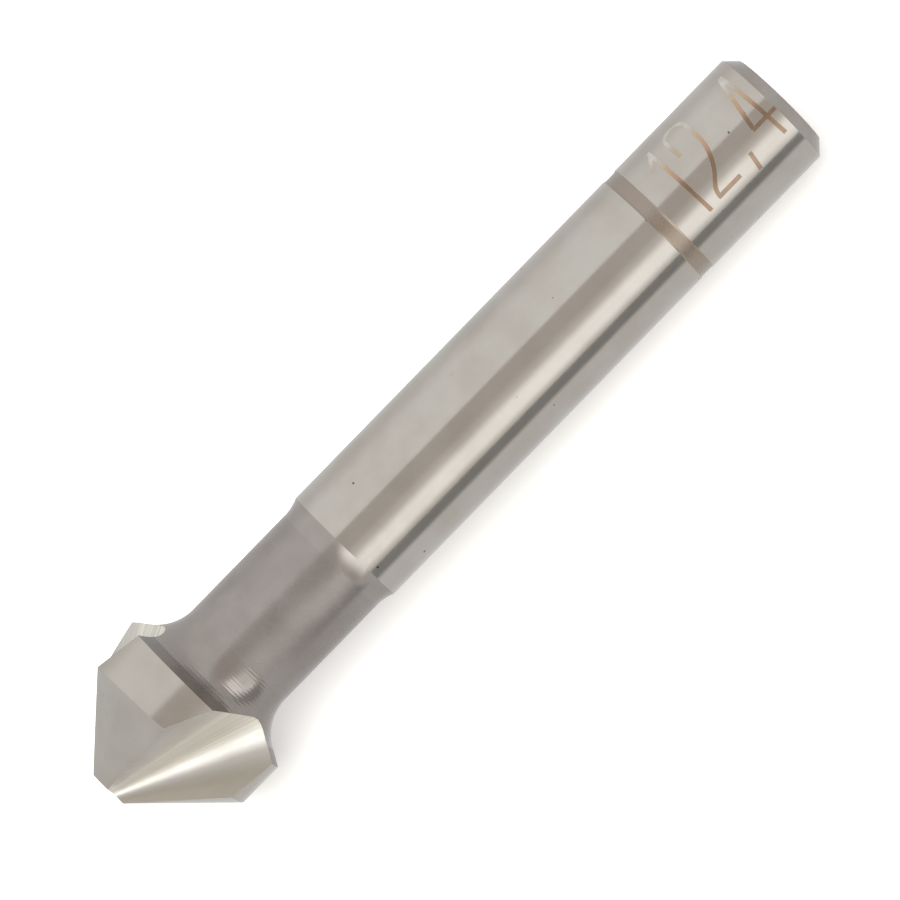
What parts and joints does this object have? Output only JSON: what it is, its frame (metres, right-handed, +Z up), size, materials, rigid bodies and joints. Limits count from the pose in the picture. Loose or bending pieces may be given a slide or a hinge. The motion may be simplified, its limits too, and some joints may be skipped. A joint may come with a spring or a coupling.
{
  "type": "countersink bit",
  "caption": "Ninety degree countersink bit with a fluted cutting head, relieved neck and plain round shank, for chamfering drilled holes and seating countersunk screws.",
  "frame": {"origin": "on the surface that the tool lies on, below the middle of its box", "axes": "+X from the tip towards the end of the shank, +Z up from the surface, +Y across the tool"},
  "size_m": [0.0561, 0.0124, 0.0118],
  "materials": {
    "tool_steel": "ground high speed steel, turned neck"
  },
  "bodies": {
    "root": {"countersink_bit": "tool_steel"}
  },
  "joints": []
}
